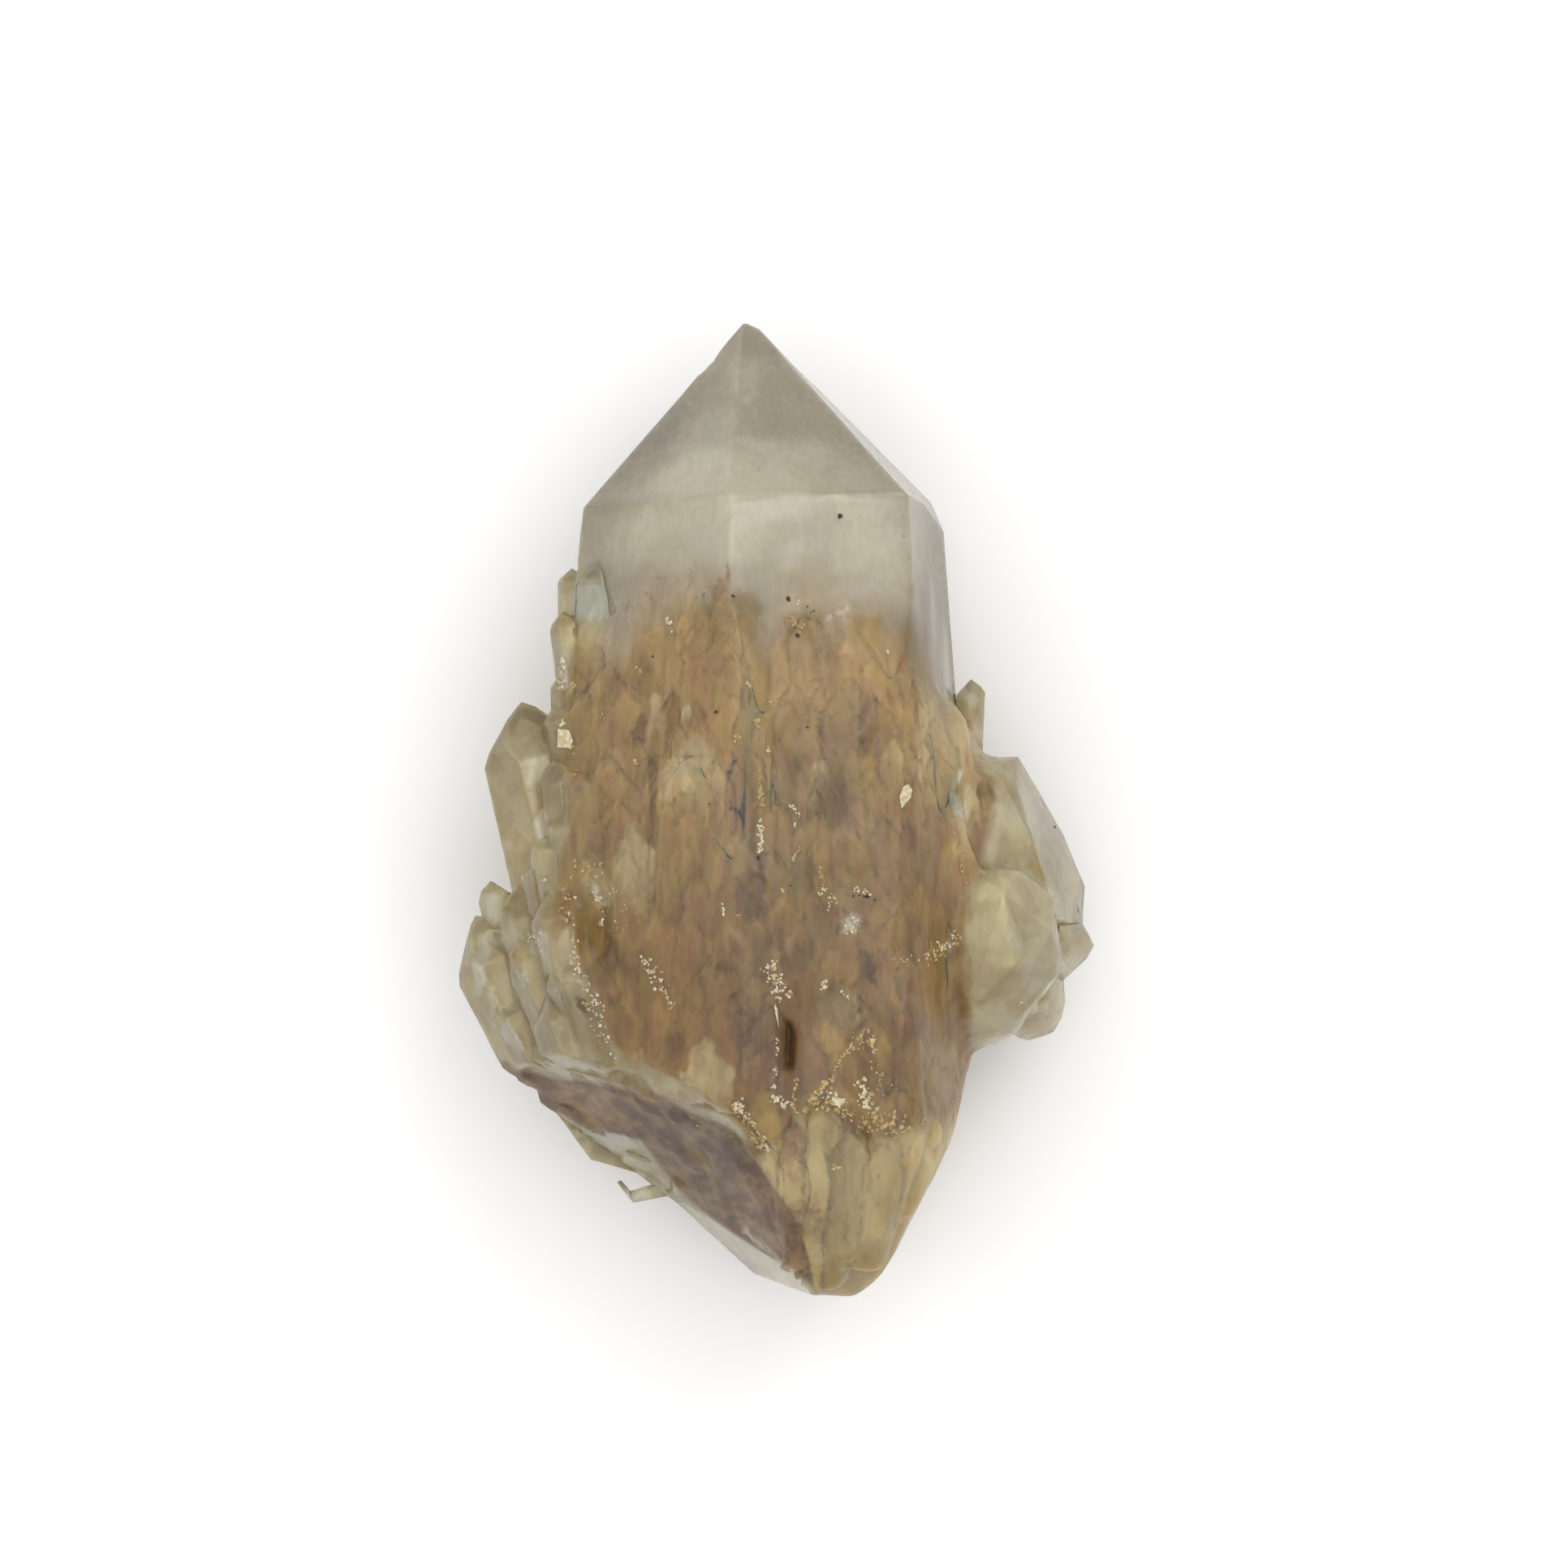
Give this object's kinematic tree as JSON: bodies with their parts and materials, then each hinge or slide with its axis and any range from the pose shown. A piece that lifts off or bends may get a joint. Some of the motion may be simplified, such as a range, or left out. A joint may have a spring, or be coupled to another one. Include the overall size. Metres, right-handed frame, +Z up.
{
  "type": "quartz crystal cluster",
  "caption": "Pointed quartz crystal with a crust of small parallel crystals and side clusters, lying on its back.",
  "frame": {"origin": "middle of the cluster's length and width, on the face that it rests on", "axes": "+Y from the broken base to the crystal's tip, +X to the viewer's right in the picture, +Z up from the resting face towards the viewer"},
  "size_m": [0.0782, 0.1196, 0.0505],
  "materials": {
    "quartz": "translucent smoky and milky quartz with a glassy surface and yellow iron stain"
  },
  "bodies": {
    "root": {"crystal_cluster": "quartz"}
  },
  "joints": []
}
